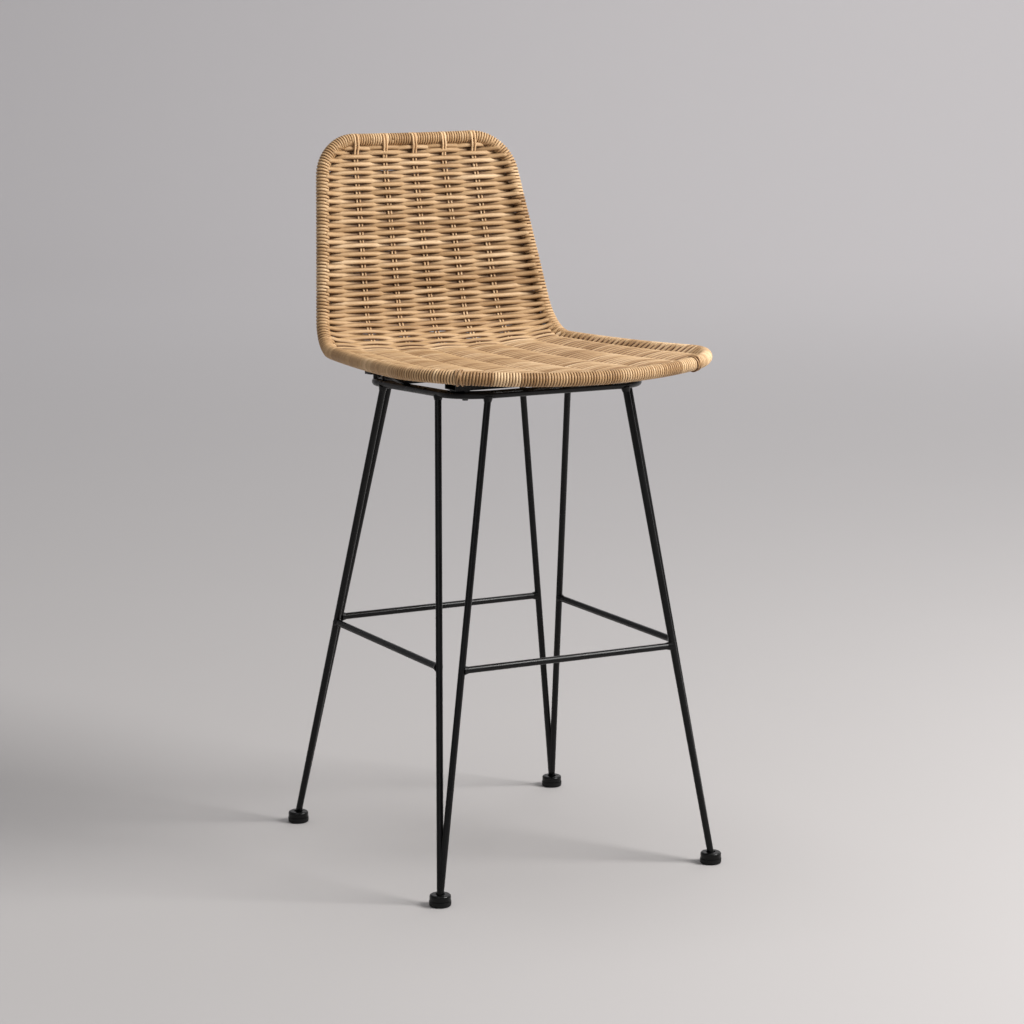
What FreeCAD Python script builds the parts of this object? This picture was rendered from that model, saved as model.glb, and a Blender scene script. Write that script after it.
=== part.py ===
import FreeCAD, Part
import math
import os
from FreeCAD import Placement, Rotation, Vector

# Bar stool with footrest: a welded rod frame under a woven rattan shell.
# Millimetres, +X to the right seen from the front, -Y to the front, +Z up, floor at z = 0.

doc = FreeCAD.newDocument("bar_stool")

# ---------------------------------------------------------------- driving sizes

SIZES = [
    ("rod_radius", 5.0, "leg rods and stretchers"),
    ("ring_rod_radius", 6.0, "rod of the ring under the seat"),
    ("ring_half_width", 157.6, "ring centre line, along X"),
    ("ring_half_depth", 160.8, "ring centre line, along its own depth"),
    ("ring_corner_radius", 55.0, "bend of the ring"),
    ("ring_centre_y", -12.2, "middle of the ring"),
    ("ring_centre_z", 715.9, "middle of the ring"),
    ("ring_tilt", 2.59, "degrees, front edge higher"),
    ("rail_inset", 44.8, "leg rod to ring corner, on the front and rear rails"),
    ("side_inset", 70.6, "leg rod to ring corner, on the side rails"),
    ("foot_half_width", 227.2, "foot centre, along X"),
    ("front_foot_y", -241.1, "foot centre, along Y"),
    ("rear_foot_y", 255.1, "foot centre, along Y"),
    ("rods_meet_z", 14.3, "height where the two rods of a leg meet"),
    ("stretcher_z", 333.3, "centre line of the footrest and stretchers"),
    ("stretcher_setback", 1.5, "end of a stretcher, off the leg rod's axis"),
    ("rod_overrun", 6.0, "leg rod past the meeting point, before it is trimmed"),
    ("mitre_gap", 0.02, "each rod of a leg, off the plane where they meet"),
    ("cutting_block", 260.0, "edge of the block that trims a rod"),
    ("cut_margin", 1.0, "a cutting tool past the faces it cuts"),
    ("disc_radius", 15.5, "steel disc welded under each leg"),
    ("disc_bottom", 8.6, "underside of the disc"),
    ("disc_top", 17.5, "upper face of the disc"),
    ("socket_radius", 7.0, "blind hole in the disc for the rods"),
    ("socket_floor", 12.0, "bottom of that blind hole"),
    ("glide_radius", 16.0, "plastic glide under the disc"),
    ("glide_top", 8.0, "upper face of the glide"),
    ("glide_neck_radius", 12.5, "spigot of the glide, seen as a groove"),
    ("edge_round", 3.0, "rounded edges of disc and glide"),
    ("weld_reach", 7.0, "length of a weld along the rod"),
    ("weld_radius", 7.2, "wide end of a weld"),
    ("weld_toe_radius", 5.5, "narrow end of a weld"),
    ("ring_weld_setback", 3.5, "wide end of a weld, off the ring's centre line"),
    ("stretcher_weld_setback", 2.5, "wide end of a weld, off the leg rod's axis"),
    ("seat_front_y", -220.7, "seat centre line at the front, before the bow"),
    ("seat_front_z", 750.9, "seat centre line at the front"),
    ("seat_front_angle", -3.1, "degrees, seat falls towards the back"),
    ("seat_length", 382.0, "arc of the seat"),
    ("seat_turn", 3.5, "degrees over the seat"),
    ("crease_radius", 75.4, "bend between seat and back"),
    ("crease_turn", 75.7, "degrees over the bend"),
    ("back_length", 268.5, "arc of the back"),
    ("back_turn", -0.9, "degrees over the back"),
    ("top_half_width", 156.7, "rim at the top corner"),
    ("crease_half_width", 197.9, "rim at the middle of the bend"),
    ("front_half_width", 252.7, "rim at the front corner"),
    ("top_corner_radius", 55.0, "top corners of the rim"),
    ("front_corner_radius", 77.0, "front corners of the rim"),
    ("front_bow", 79.6, "forward bow of the front edge"),
    ("bow_start", 120.0, "distance over which the bow grows"),
    ("seat_hollow", 0.000234, "sideways hollow of the seat, per mm"),
    ("back_hollow", 0.000373, "sideways hollow of the back, per mm"),
    ("pole_radius", 8.0, "bent rattan pole of the rim"),
    ("wrap_inner_radius", 8.3, "inside of the wrapping"),
    ("wrap_radius", 10.5, "outside of the wrapping"),
    ("band_radius", 12.2, "knot where two wrappings end"),
    ("band_length", 7.0, "knot along the rim"),
    ("left_knot_x", -196.7, "where two wrappings end on the front edge"),
    ("right_knot_x", 175.7, "where two wrappings end on the front edge"),
    ("weave_thickness", 5.0, "woven panel"),
    ("weave_gap", 0.9, "room between panel and rim"),
    ("stake_radius", 1.5, "strands that carry the weave"),
    ("stake_gap", 0.15, "room between panel and strands"),
    ("stake_pair", 2.6, "half the distance between two strands of a pair"),
    ("stake_top_pitch", 50.5, "between pairs at the top"),
    ("stake_front_pitch", 68.0, "between pairs at the front"),
    ("seat_stake_start", 0.6, "start of the seat's outermost strands, share of the bend"),
    ("seat_stake_end", 22.0, "end of the seat's outermost strands, to the front edge"),
    ("bar_width", 34.0, "straight tubes under the seat"),
    ("bar_thickness", 12.0, "straight tubes under the seat"),
    ("bar_wall", 1.5, "straight tubes under the seat"),
    ("bar_half_length", 160.0, "straight tubes under the seat"),
    ("bar_gap", 1.6, "room between the strands and the middle of a tube"),
    ("strap_y", 2.0, "middle of the strap across the ring"),
    ("strap_width", 20.0, "strap across the ring"),
    ("strap_thickness", 5.0, "strap across the ring"),
    ("strap_gap", 0.6, "room between the strap's ends and the rim"),
    ("strap_flat_end", 8.0, "where the strap bends up, outside the ring's centre line"),
    ("strap_rise_end", 28.0, "where the strap levels out, inside the rim's centre line"),
    ("strap_end", 5.0, "end of the strap, inside the rim's centre line"),
    ("corner_angle", 40.0, "degrees, screw and tab, from the side rail round the bend"),
    ("screw_reach", 43.6, "screw, from the middle of the ring's bend"),
    ("screw_radius", 2.5, "screws"),
    ("screw_head_radius", 4.2, "screw heads"),
    ("screw_head_height", 3.0, "screw heads"),
    ("screw_grip", 6.0, "length of the screw inside the tube"),
    ("hole_play", 0.3, "radial room around a screw"),
    ("tab_width", 14.0, "tabs welded inside the ring's bends"),
    ("tab_thickness", 3.0, "tabs welded inside the ring's bends"),
    ("tab_drop", 2.8, "top of a tab under the ring's centre line"),
    ("tab_reach", 8.0, "tab past its screw, towards the middle"),
    ("tab_inset", 1.0, "outer end of a tab, inside the ring's centre line"),
    ("post_radius", 4.0, "posts on the ring that carry the tubes"),
    ("post_side_angle", 23.0, "degrees, first post, from the side rail round the bend"),
    ("post_rail_angle", 48.0, "degrees, second post, from the side rail round the bend"),
]

sheet = doc.addObject("Spreadsheet::Sheet", "sizes")
for row, (alias, value, note) in enumerate(SIZES, start=1):
    sheet.set("A%d" % row, alias)
    sheet.set("B%d" % row, str(value))
    sheet.set("C%d" % row, note)
    sheet.setAlias("B%d" % row, alias)
doc.recompute()


def size(alias):
    return float(sheet.get(alias))


NODES = []


def node(obj, label):
    """Gives a finished sub-part its name and puts it on the export list."""
    obj.Label = label
    NODES.append(obj)
    return obj


def code_solid(label, shape):
    """A shape worked out in code, kept as a document object."""
    obj = doc.addObject("Part::Feature", label + "_shape")
    obj.Shape = shape
    obj.Placement = Placement()
    return obj


def group(label, members):
    """Several equal pieces exported as one sub-part."""
    obj = doc.addObject("Part::Compound", label + "_group")
    obj.Links = members
    return node(obj, label)


def cut(name, base, tool):
    obj = doc.addObject("Part::Cut", name)
    obj.Base = base
    obj.Tool = tool
    return obj


def rod(name, radius, start, end):
    """A straight round rod between two points; radius is an expression on the sheet."""
    obj = doc.addObject("Part::Cylinder", name)
    obj.setExpression("Radius", radius)
    obj.Height = (end - start).Length
    obj.Placement = Placement(start, Rotation(Vector(0, 0, 1), end - start))
    return obj


# ---------------------------------------------------------------- seat ring

RING_PLACEMENT = Placement(
    Vector(0, size("ring_centre_y"), size("ring_centre_z")),
    Rotation(Vector(1, 0, 0), -size("ring_tilt")),
)


def ring_point(x, depth, height=0.0):
    """A point of the ring's own frame: depth runs to the back, height off the ring's plane."""
    return RING_PLACEMENT.multVec(Vector(x, depth, height))


def origin_plane(body, role):
    return [f for f in body.Origin.OriginFeatures if f.Role == role][0]


def seat_ring():
    body = doc.addObject("PartDesign::Body", "ring_body")
    path = body.newObject("Sketcher::SketchObject", "ring_path")
    path.AttachmentSupport = [(origin_plane(body, "XY_Plane"), "")]
    path.MapMode = "FlatFace"
    wide = size("ring_half_width")
    deep = size("ring_half_depth")
    bend = size("ring_corner_radius")
    corners = [(1, -1, -90), (1, 1, 0), (-1, 1, 90), (-1, -1, 180)]
    for sx, sy, first in corners:
        centre = Vector(sx * (wide - bend), sy * (deep - bend), 0)
        circle = Part.Circle(centre, Vector(0, 0, 1), bend)
        path.addGeometry(Part.ArcOfCircle(circle, math.radians(first), math.radians(first + 90)))
    path.addGeometry(Part.LineSegment(Vector(wide, bend - deep, 0), Vector(wide, deep - bend, 0)))
    path.addGeometry(Part.LineSegment(Vector(wide - bend, deep, 0), Vector(bend - wide, deep, 0)))
    path.addGeometry(Part.LineSegment(Vector(-wide, deep - bend, 0), Vector(-wide, bend - deep, 0)))
    path.addGeometry(Part.LineSegment(Vector(bend - wide, -deep, 0), Vector(wide - bend, -deep, 0)))
    section = body.newObject("Sketcher::SketchObject", "ring_section")
    section.AttachmentSupport = [(origin_plane(body, "XZ_Plane"), "")]
    section.MapMode = "FlatFace"
    section.addGeometry(Part.Circle(Vector(wide, 0, 0), Vector(0, 0, 1), size("ring_rod_radius")))
    pipe = body.newObject("PartDesign::AdditivePipe", "ring_pipe")
    pipe.Profile = section
    pipe.Spine = path
    body.Tip = pipe
    body.Placement = RING_PLACEMENT
    doc.recompute()
    return node(body, "seat_ring")


# ---------------------------------------------------------------- legs

CORNERS = [("front_left", -1, -1), ("front_right", 1, -1), ("rear_left", -1, 1), ("rear_right", 1, 1)]


def foot_point(sx, sy):
    y = size("front_foot_y") if sy < 0 else size("rear_foot_y")
    return Vector(sx * size("foot_half_width"), y, size("rods_meet_z"))


def rail_point(sx, sy):
    """Where the leg's rod meets the front or rear rail of the ring."""
    return ring_point(sx * (size("ring_half_width") - size("rail_inset")), sy * size("ring_half_depth"))


def side_point(sx, sy):
    """Where the leg's rod meets the left or right rail of the ring."""
    return ring_point(sx * size("ring_half_width"), sy * (size("ring_half_depth") - size("side_inset")))


def half_space(name, point, normal):
    """A block that fills the side of a plane its normal points to."""
    extent = size("cutting_block")
    obj = doc.addObject("Part::Box", name)
    obj.setExpression("Length", "sizes.cutting_block")
    obj.setExpression("Width", "sizes.cutting_block")
    obj.setExpression("Height", "sizes.cutting_block")
    turn = Rotation(Vector(0, 0, 1), normal)
    obj.Placement = Placement(point + turn.multVec(Vector(-extent / 2, -extent / 2, 0)), turn)
    return obj


def leg_rod(label, foot, end, other_end, ring):
    """One of a leg's two rods: coped to the ring, mitred to its neighbour, cut square above the floor."""
    along = (end - foot).normalize()
    start = foot - along * size("rod_overrun")
    blank = rod(label + "_blank", "sizes.rod_radius", start, end)
    across = (other_end - foot).normalize() - along
    mitre = half_space(label + "_mitre", foot - across.normalize() * size("mitre_gap"), across)
    floor = Vector(foot.x, foot.y, size("socket_floor"))
    level = half_space(label + "_level", floor, Vector(0, 0, -1))
    coped = cut(label + "_coped", blank, ring)
    halved = cut(label + "_halved", coped, mitre)
    return node(cut(label + "_cut", halved, level), label)


def legs(ring):
    rods = {}
    for corner, sx, sy in CORNERS:
        foot = foot_point(sx, sy)
        rail = rail_point(sx, sy)
        side = side_point(sx, sy)
        rods[corner, "rail"] = leg_rod("leg_%s_rail_rod" % corner, foot, rail, side, ring)
        rods[corner, "side"] = leg_rod("leg_%s_side_rod" % corner, foot, side, rail, ring)
    return rods


# ---------------------------------------------------------------- footrest and stretchers

def at_height(foot, end, height):
    share = (height - foot.z) / (end.z - foot.z)
    return foot + (end - foot) * share


def stretcher(label, start, end, start_rod, end_rod):
    """A level rod between two leg rods, coped to both."""
    setback = (end - start).normalize() * size("stretcher_setback")
    blank = rod(label + "_blank", "sizes.rod_radius", start + setback, end - setback)
    first = cut(label + "_first_cope", blank, start_rod)
    return node(cut(label + "_second_cope", first, end_rod), label)


def stretchers(rods):
    height = size("stretcher_z")
    rail = {}
    side = {}
    for corner, sx, sy in CORNERS:
        rail[corner] = at_height(foot_point(sx, sy), rail_point(sx, sy), height)
        side[corner] = at_height(foot_point(sx, sy), side_point(sx, sy), height)
    plan = [
        ("front_footrest", rail, "rail", "front_left", "front_right"),
        ("rear_stretcher", rail, "rail", "rear_left", "rear_right"),
        ("left_stretcher", side, "side", "front_left", "rear_left"),
        ("right_stretcher", side, "side", "front_right", "rear_right"),
    ]
    ends = []
    for label, points, kind, first, second in plan:
        bar = stretcher(label, points[first], points[second], rods[first, kind], rods[second, kind])
        ends.append((points[first], points[second], bar, rods[first, kind]))
        ends.append((points[second], points[first], bar, rods[second, kind]))
    return ends


# ---------------------------------------------------------------- welds

def weld_bead(name, joint, away, setback, solids):
    """A flared collar on a rod where it meets another; the solids it would run into are cut away."""
    along = (away - joint).normalize()
    cone = doc.addObject("Part::Cone", name)
    cone.setExpression("Radius1", "sizes.weld_radius")
    cone.setExpression("Radius2", "sizes.weld_toe_radius")
    cone.setExpression("Height", "sizes.weld_reach")
    cone.Placement = Placement(joint + along * setback, Rotation(Vector(0, 0, 1), along))
    bead = cone
    for index, solid in enumerate(solids):
        bead = cut("%s_cut_%d" % (name, index), bead, solid)
    return bead


def ring_welds(ring, rods):
    beads = []
    for corner, sx, sy in CORNERS:
        foot = foot_point(sx, sy)
        for kind, end in (("rail", rail_point(sx, sy)), ("side", side_point(sx, sy))):
            name = "ring_bead_%s_%s" % (corner, kind)
            solids = [ring, rods[corner, kind]]
            beads.append(weld_bead(name, end, foot, size("ring_weld_setback"), solids))
    return group("ring_welds", beads)


def stretcher_welds(ends):
    beads = []
    for index, (joint, away, bar, leg) in enumerate(ends):
        setback = size("stretcher_weld_setback")
        beads.append(weld_bead("stretcher_bead_%d" % index, joint, away, setback, [bar, leg]))
    return group("stretcher_welds", beads)


# ---------------------------------------------------------------- feet

def turned(name, outline, place):
    """A solid of revolution about Z, in a body of its own.

    The outline is a list of (radius, height) points; a point with two more numbers starts an arc
    and gives the point in its middle.
    """
    body = doc.addObject("PartDesign::Body", name + "_body")
    sketch = body.newObject("Sketcher::SketchObject", name + "_outline")
    sketch.AttachmentSupport = [(origin_plane(body, "XZ_Plane"), "")]
    sketch.MapMode = "FlatFace"
    for start, end in zip(outline, outline[1:] + outline[:1]):
        if len(start) == 2:
            first = Vector(start[0], start[1], 0)
            second = Vector(end[0], end[1], 0)
            sketch.addGeometry(Part.LineSegment(first, second))
        else:
            first = Vector(start[0], start[1], 0)
            middle = Vector(start[2], start[3], 0)
            second = Vector(end[0], end[1], 0)
            sketch.addGeometry(Part.Arc(first, middle, second))
    turn = body.newObject("PartDesign::Revolution", name + "_turn")
    turn.Profile = sketch
    turn.ReferenceAxis = (sketch, ["V_Axis"])
    turn.Angle = 360.0
    body.Tip = turn
    body.Placement = Placement(place, Rotation())
    doc.recompute()
    return body


def foot_disc(corner, place):
    low = size("disc_bottom")
    top = size("disc_top")
    wide = size("disc_radius")
    soft = size("edge_round")
    hole = size("socket_radius")
    floor = size("socket_floor")
    bow = soft * (1 - math.sqrt(0.5))
    outline = [
        (0.0, low),
        (wide, low),
        (wide, top - soft, wide - bow, top - bow),
        (wide - soft, top),
        (hole, top),
        (hole, floor),
        (0.0, floor),
    ]
    return node(turned("foot_disc_" + corner, outline, place), "foot_disc_" + corner)


def foot_glide(corner, place):
    top = size("glide_top")
    wide = size("glide_radius")
    soft = size("edge_round")
    neck = size("glide_neck_radius")
    low = size("disc_bottom")
    bow = soft * (1 - math.sqrt(0.5))
    outline = [
        (0.0, 0.0),
        (wide - soft, 0.0, wide - bow, bow),
        (wide, soft),
        (wide, top),
        (neck, top),
        (neck, low),
        (0.0, low),
    ]
    return node(turned("foot_glide_" + corner, outline, place), "foot_glide_" + corner)


def feet():
    for corner, sx, sy in CORNERS:
        foot = foot_point(sx, sy)
        place = Vector(foot.x, foot.y, 0)
        foot_disc(corner, place)
        foot_glide(corner, place)


# ---------------------------------------------------------------- shell surface

CORNER_STEPS = 5  # points round a quarter-circle corner
SIDE_STEPS = 20  # points along a side of the rim
FRONT_STEPS = 5  # points along half of the front edge
TOP_STEPS = 3  # points along half of the top edge
ACROSS_STEPS = 8  # points across a woven panel
PANEL_STEPS = 6  # sections along a woven panel
STAKE_POINTS = 24  # points that a strand is passed through
STAKE_SECTIONS = 32  # round sections of a strand
RIM_SECTIONS = 96  # round sections of the rim
SECTIONS_PER_FACE = 6
SITTER = Vector(0, -150, 1150)  # a point above the seat that every part of the rim can see

SEAT_LENGTH = size("seat_length")
CREASE_LENGTH = size("crease_radius") * math.radians(size("crease_turn"))
BACK_LENGTH = size("back_length")
SHELL_LENGTH = SEAT_LENGTH + CREASE_LENGTH + BACK_LENGTH


def along_arc(start, heading, turn, length, travel):
    """Point and heading after travelling along an arc in the YZ plane."""
    bend = turn / length
    new = heading + bend * travel
    y = start[0] + (math.sin(new) - math.sin(heading)) / bend
    z = start[1] - (math.cos(new) - math.cos(heading)) / bend
    return (y, z), new


def shell_profile(down):
    """Centre line of the shell: down is the distance from the top edge over the back, bend and seat."""
    travel = SHELL_LENGTH - down
    point = (size("seat_front_y"), size("seat_front_z"))
    heading = math.radians(size("seat_front_angle"))
    pieces = [
        (math.radians(size("seat_turn")), SEAT_LENGTH),
        (math.radians(size("crease_turn")), CREASE_LENGTH),
        (math.radians(size("back_turn")), BACK_LENGTH),
    ]
    for index, (turn, length) in enumerate(pieces):
        last = index == len(pieces) - 1
        if travel <= length or last:
            return along_arc(point, heading, turn, length, travel)
        point, heading = along_arc(point, heading, turn, length, length)
        travel -= length


def hollow(down):
    """Sideways hollow, eased from the back's to the seat's over the bend."""
    share = min(max((down - BACK_LENGTH) / CREASE_LENGTH, 0.0), 1.0)
    share = share * share * (3 - 2 * share)
    return size("back_hollow") * (1 - share) + size("seat_hollow") * share


def bowed(x, down):
    """The front edge swings forward in the middle."""
    share = (down - SHELL_LENGTH + size("bow_start")) / size("bow_start")
    share = min(max(share, 0.0), 1.0)
    return down + size("front_bow") * share * (1 - (x / size("front_half_width")) ** 2)


def shell_point(x, down, lift=0.0):
    """A point of the shell: x sideways, down from the top edge, lift towards the sitter."""
    down = bowed(x, down)
    (y, z), heading = shell_profile(down)
    rise = hollow(down) * x * x + lift
    return Vector(x, y - math.sin(heading) * rise, z + math.cos(heading) * rise)


def side_line(down, inset):
    """Half width of the shell on its straight sides."""
    bend = BACK_LENGTH + CREASE_LENGTH / 2
    if down < bend:
        share = down / bend
        wide = size("top_half_width") + (size("crease_half_width") - size("top_half_width")) * share
    else:
        share = (down - bend) / (SHELL_LENGTH - bend)
        wide = size("crease_half_width") + (size("front_half_width") - size("crease_half_width")) * share
    return wide - inset


def half_width(down, inset):
    """Half width of the shell with its corners rounded, drawn in by inset all round."""
    wide = side_line(down, inset)
    ends = [
        (down - inset, size("top_corner_radius") - inset),
        (SHELL_LENGTH - inset - down, size("front_corner_radius") - inset),
    ]
    for reach, radius in ends:
        if reach < radius:
            wide -= radius - math.sqrt(max(radius ** 2 - (radius - reach) ** 2, 0.0))
    return wide


def corner_steps(radius, count):
    """Distances from an end that step evenly round a corner."""
    return [radius * (1 - math.cos(math.pi / 2 * k / count)) for k in range(count + 1)]


def spread(start, end, count):
    """Evenly spaced values from start to end."""
    return [start + (end - start) * k / count for k in range(count + 1)]


def rim_curve():
    """The closed centre line of the rim, round from the top middle by the right-hand side."""
    top = corner_steps(size("top_corner_radius"), CORNER_STEPS)
    front = corner_steps(size("front_corner_radius"), CORNER_STEPS)
    sides = spread(top[-1], SHELL_LENGTH - front[-1], SIDE_STEPS)
    downs = top + sides[1:-1] + [SHELL_LENGTH - step for step in reversed(front)]
    right = [(half_width(down, 0.0), down) for down in downs]
    top_edge = [(x, 0.0) for x in spread(0.0, right[0][0], TOP_STEPS)][:-1]
    front_edge = [(x, SHELL_LENGTH) for x in spread(right[-1][0], 0.0, FRONT_STEPS)][1:]
    half = top_edge + right + front_edge
    other = [(-x, down) for x, down in reversed(half[1:-1])]
    points = [shell_point(x, down) for x, down in half + other]
    curve = Part.BSplineCurve()
    curve.interpolate(Points=points, PeriodicFlag=True)
    return curve


def round_section(curve, place, radius):
    """A circle square to the curve, its seam always turned to the side away from the sitter."""
    period = curve.LastParameter - curve.FirstParameter
    if place > curve.LastParameter:
        place -= period
    centre = curve.value(place)
    along = Vector(*curve.tangent(place)[0])
    side = along.cross(SITTER - centre)
    circle = Part.makeCircle(radius)
    circle.Placement = Placement(centre, Rotation(side, Vector(), along, "ZXY"))
    return Part.Wire([circle])


def closed_solid(faces):
    """One solid from faces that meet edge to edge."""
    skin = Part.makeCompound(faces)
    skin.sewShape()
    solid = Part.makeSolid(skin.Shells[0])
    if solid.Volume < 0:
        solid.reverse()
    return solid


def skinned(sections):
    """The outside of a bar through round sections, in stretches of a few sections each."""
    faces = []
    last = len(sections) - 1
    for first in range(0, last, SECTIONS_PER_FACE):
        stretch = sections[first:min(first + SECTIONS_PER_FACE, last) + 1]
        faces += Part.makeLoft(stretch).Faces
    return faces


def tube(curve, start, end, radius, count):
    """A round bar along part of a curve."""
    sections = [round_section(curve, place, radius) for place in spread(start, end, count)]
    caps = [Part.Face(sections[0]), Part.Face(sections[-1])]
    return closed_solid(skinned(sections) + caps)


def hoop(curve, radius, count):
    """A round bar along the whole of a closed curve."""
    places = spread(curve.FirstParameter, curve.LastParameter, count)[:-1]
    sections = [round_section(curve, place, radius) for place in places]
    return closed_solid(skinned(sections + sections[:1]))


def sleeve(curve, start, end, outer):
    """A wrapping round part of the rim; outer is the size of its outside radius."""
    period = curve.LastParameter - curve.FirstParameter
    count = max(4, round(RIM_SECTIONS * (end - start) / period))
    solid = tube(curve, start, end, size(outer), count)
    return solid.cut(tube(curve, start, end, size("wrap_inner_radius"), count))


def front_edge_point(x):
    """A point of the rim's centre line on the front edge or its corners."""
    radius = size("front_corner_radius")
    lean = max(abs(x) - (size("front_half_width") - radius), 0.0)
    reach = radius - math.sqrt(radius ** 2 - lean ** 2)
    return shell_point(x, SHELL_LENGTH - reach)


def rim(curve):
    period = curve.LastParameter - curve.FirstParameter
    knot = size("band_length") / curve.length() * period
    right = curve.parameter(front_edge_point(size("right_knot_x")))
    left = curve.parameter(front_edge_point(size("left_knot_x")))
    node(code_solid("rim_pole", hoop(curve, size("pole_radius"), RIM_SECTIONS)), "rim_pole")
    front = sleeve(curve, right + knot / 2, left - knot / 2, "wrap_radius")
    node(code_solid("front_wrap", front), "front_wrap")
    back = sleeve(curve, left + knot / 2, right - knot / 2 + period, "wrap_radius")
    node(code_solid("back_wrap", back), "back_wrap")
    bands = []
    for name, middle in (("right", right), ("left", left)):
        band = sleeve(curve, middle - knot / 2, middle + knot / 2, "band_radius")
        bands.append(code_solid("band_" + name, band))
    group("wrap_knots", bands)


# ---------------------------------------------------------------- woven panel

def panel_section(down, inset, half_thickness):
    """The lower and upper edge of the panel across the shell, at one distance from the top."""
    wide = half_width(down, inset)
    edges = []
    for lift in (-half_thickness, half_thickness):
        curve = Part.BSplineCurve()
        curve.interpolate([shell_point(x, down, lift) for x in spread(-wide, wide, ACROSS_STEPS)])
        edges.append(curve.toShape())
    return edges


def panel(label, downs):
    """A sheet that follows the shell through the given distances from the top."""
    inset = size("wrap_radius") + size("weave_gap")
    sections = [panel_section(down, inset, size("weave_thickness") / 2) for down in downs]
    low = Part.makeLoft([Part.Wire([pair[0]]) for pair in sections])
    high = Part.makeLoft([Part.Wire([pair[1]]) for pair in sections])
    faces = low.Faces + high.Faces
    for under, over in zip(low.Edges, high.Edges):
        faces.append(Part.makeRuledSurface(under, over))
    return node(code_solid(label, closed_solid(faces)), label)


def woven_panels():
    inset = size("wrap_radius") + size("weave_gap")
    top = [inset + step for step in corner_steps(size("top_corner_radius") - inset, CORNER_STEPS)]
    panel("back_weave", top + spread(top[-1], BACK_LENGTH, PANEL_STEPS)[1:])
    crease_end = BACK_LENGTH + CREASE_LENGTH
    panel("crease_weave", spread(BACK_LENGTH, crease_end, PANEL_STEPS))
    front = corner_steps(size("front_corner_radius") - inset, CORNER_STEPS)
    front = [SHELL_LENGTH - inset - step for step in reversed(front)]
    bow_start = SHELL_LENGTH - size("bow_start")
    panel("seat_weave", spread(crease_end, bow_start, PANEL_STEPS) + front)


def stake(name, column, side, start, end):
    """A strand under the weave, between two distances from the top edge."""
    drop = -(size("weave_thickness") / 2 + size("stake_gap") + size("stake_radius"))
    points = []
    for down in spread(start, end, STAKE_POINTS):
        spacing = size("stake_front_pitch") - size("stake_top_pitch")
        pitch = size("stake_top_pitch") + spacing * down / SHELL_LENGTH
        points.append(shell_point(column * pitch + side * size("stake_pair"), down, drop))
    curve = Part.BSplineCurve()
    curve.interpolate(points)
    places = spread(curve.FirstParameter, curve.LastParameter, STAKE_SECTIONS)
    sections = [round_section(curve, place, size("stake_radius")) for place in places]
    return code_solid(name, Part.makeLoft(sections, True, True))


def stake_pair(name, column, start, end):
    pair = [stake("stake_%s_%d" % (name, side), column, side, start, end) for side in (-1, 1)]
    group("stake_pair_" + name, pair)


def stakes():
    margin = size("wrap_radius") + size("stake_radius")
    names = ["outer_left", "inner_left", "middle", "inner_right", "outer_right"]
    for index, name in enumerate(names):
        stake_pair(name, index - 2, margin, SHELL_LENGTH - margin)
    start = BACK_LENGTH + size("seat_stake_start") * CREASE_LENGTH
    end = SHELL_LENGTH - size("seat_stake_end")
    stake_pair("seat_left", -3, start, end)
    stake_pair("seat_right", 3, start, end)


# ---------------------------------------------------------------- supports under the seat

def seat_distance(y):
    """Distance from the top edge to the point of the seat's centre line at a given y."""
    low = BACK_LENGTH + CREASE_LENGTH
    high = SHELL_LENGTH
    while high - low > 0.001:
        middle = (low + high) / 2
        if shell_profile(middle)[0][0] > y:
            low = middle
        else:
            high = middle
    return low


def seat_underside(y):
    """Height of the lowest strands under the seat's centre line at a given y."""
    drop = size("weave_thickness") / 2 + size("stake_gap") + 2 * size("stake_radius")
    return shell_point(0.0, seat_distance(y), -drop).z


def ring_top(y):
    """Height of the top of the ring's side rails at a given y."""
    slope = math.tan(math.radians(size("ring_tilt")))
    return size("ring_centre_z") - slope * (y - size("ring_centre_y")) + size("ring_rod_radius")


def upright(name, radius, x, y, low, high):
    """A standing cylinder; radius is an expression on the sheet."""
    return rod(name, radius, Vector(x, y, low), Vector(x, y, high))


def bend_point(sx, sy, angle, reach):
    """A point of the ring's plane: reach from the middle of a bend, angle from the side rail round it."""
    bend = size("ring_corner_radius")
    turn = math.radians(size(angle))
    x = size("ring_half_width") - bend + reach * math.cos(turn)
    depth = size("ring_half_depth") - bend + reach * math.sin(turn)
    return ring_point(sx * x, sy * depth)


def seat_tube(label, sy):
    """A straight rectangular tube under the strands, with two screw holes in its lower wall."""
    y = bend_point(1, sy, "corner_angle", size("screw_reach")).y
    top = seat_underside(y) - size("bar_gap")
    low = top - size("bar_thickness")
    half = size("bar_half_length")
    margin = size("cut_margin")
    outside = doc.addObject("Part::Box", label + "_outside")
    outside.setExpression("Length", "2 * sizes.bar_half_length")
    outside.setExpression("Width", "sizes.bar_width")
    outside.setExpression("Height", "sizes.bar_thickness")
    outside.Placement = Placement(Vector(-half, y - size("bar_width") / 2, low), Rotation())
    inside = doc.addObject("Part::Box", label + "_inside")
    inside.setExpression("Length", "2 * (sizes.bar_half_length + sizes.cut_margin)")
    inside.setExpression("Width", "sizes.bar_width - 2 * sizes.bar_wall")
    inside.setExpression("Height", "sizes.bar_thickness - 2 * sizes.bar_wall")
    wall = size("bar_wall")
    corner = Vector(-half - margin, y - size("bar_width") / 2 + wall, low + wall)
    inside.Placement = Placement(corner, Rotation())
    drilled = cut(label + "_tube", outside, inside)
    for sx, hand in ((-1, "left"), (1, "right")):
        screw = bend_point(sx, sy, "corner_angle", size("screw_reach"))
        name = "%s_hole_%s" % (label, hand)
        hole = upright(name, "sizes.screw_radius", screw.x, y, low - margin, low + wall + margin)
        drilled = cut("%s_drilled_%s" % (label, hand), drilled, hole)
    return node(drilled, label), low


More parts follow.
